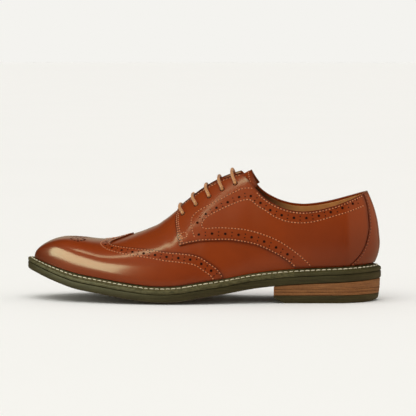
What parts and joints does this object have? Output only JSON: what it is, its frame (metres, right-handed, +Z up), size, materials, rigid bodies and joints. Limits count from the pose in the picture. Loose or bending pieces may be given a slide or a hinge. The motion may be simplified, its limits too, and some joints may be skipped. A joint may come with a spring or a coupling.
{
  "type": "brogue shoe",
  "caption": "Left wingtip brogue derby in tan leather with five lace bars, punched bands, stitched olive welt and stacked heel, standing empty.",
  "frame": {"origin": "centre of the footprint's box, on the floor under the middle of the shoe", "axes": "+X from toe to heel, +Y to the inner (medial) side, +Z up"},
  "size_m": [0.302, 0.1088, 0.1141],
  "materials": {
    "tan_leather": "polished tan calf, burnished",
    "wing_leather": "polished tan calf, punched",
    "lining": "matt gold-tan lining leather",
    "welt": "olive, waxed, stitched",
    "outsole": "dark olive, matt",
    "stacked_leather": "waxed edge of stacked lifts",
    "laces": "waxed round cotton lace"
  },
  "bodies": {
    "root": {"upper": "tan_leather", "wing_cap": "wing_leather", "quarter_lateral": "tan_leather", "quarter_medial": "tan_leather", "back_strip": "tan_leather", "tongue": "tan_leather", "insole": "lining", "welt": "welt", "outsole": "outsole", "heel_lift_1": "stacked_leather", "heel_lift_2": "stacked_leather", "heel_lift_3": "stacked_leather", "top_lift": "outsole", "laces": "laces"}
  },
  "joints": []
}
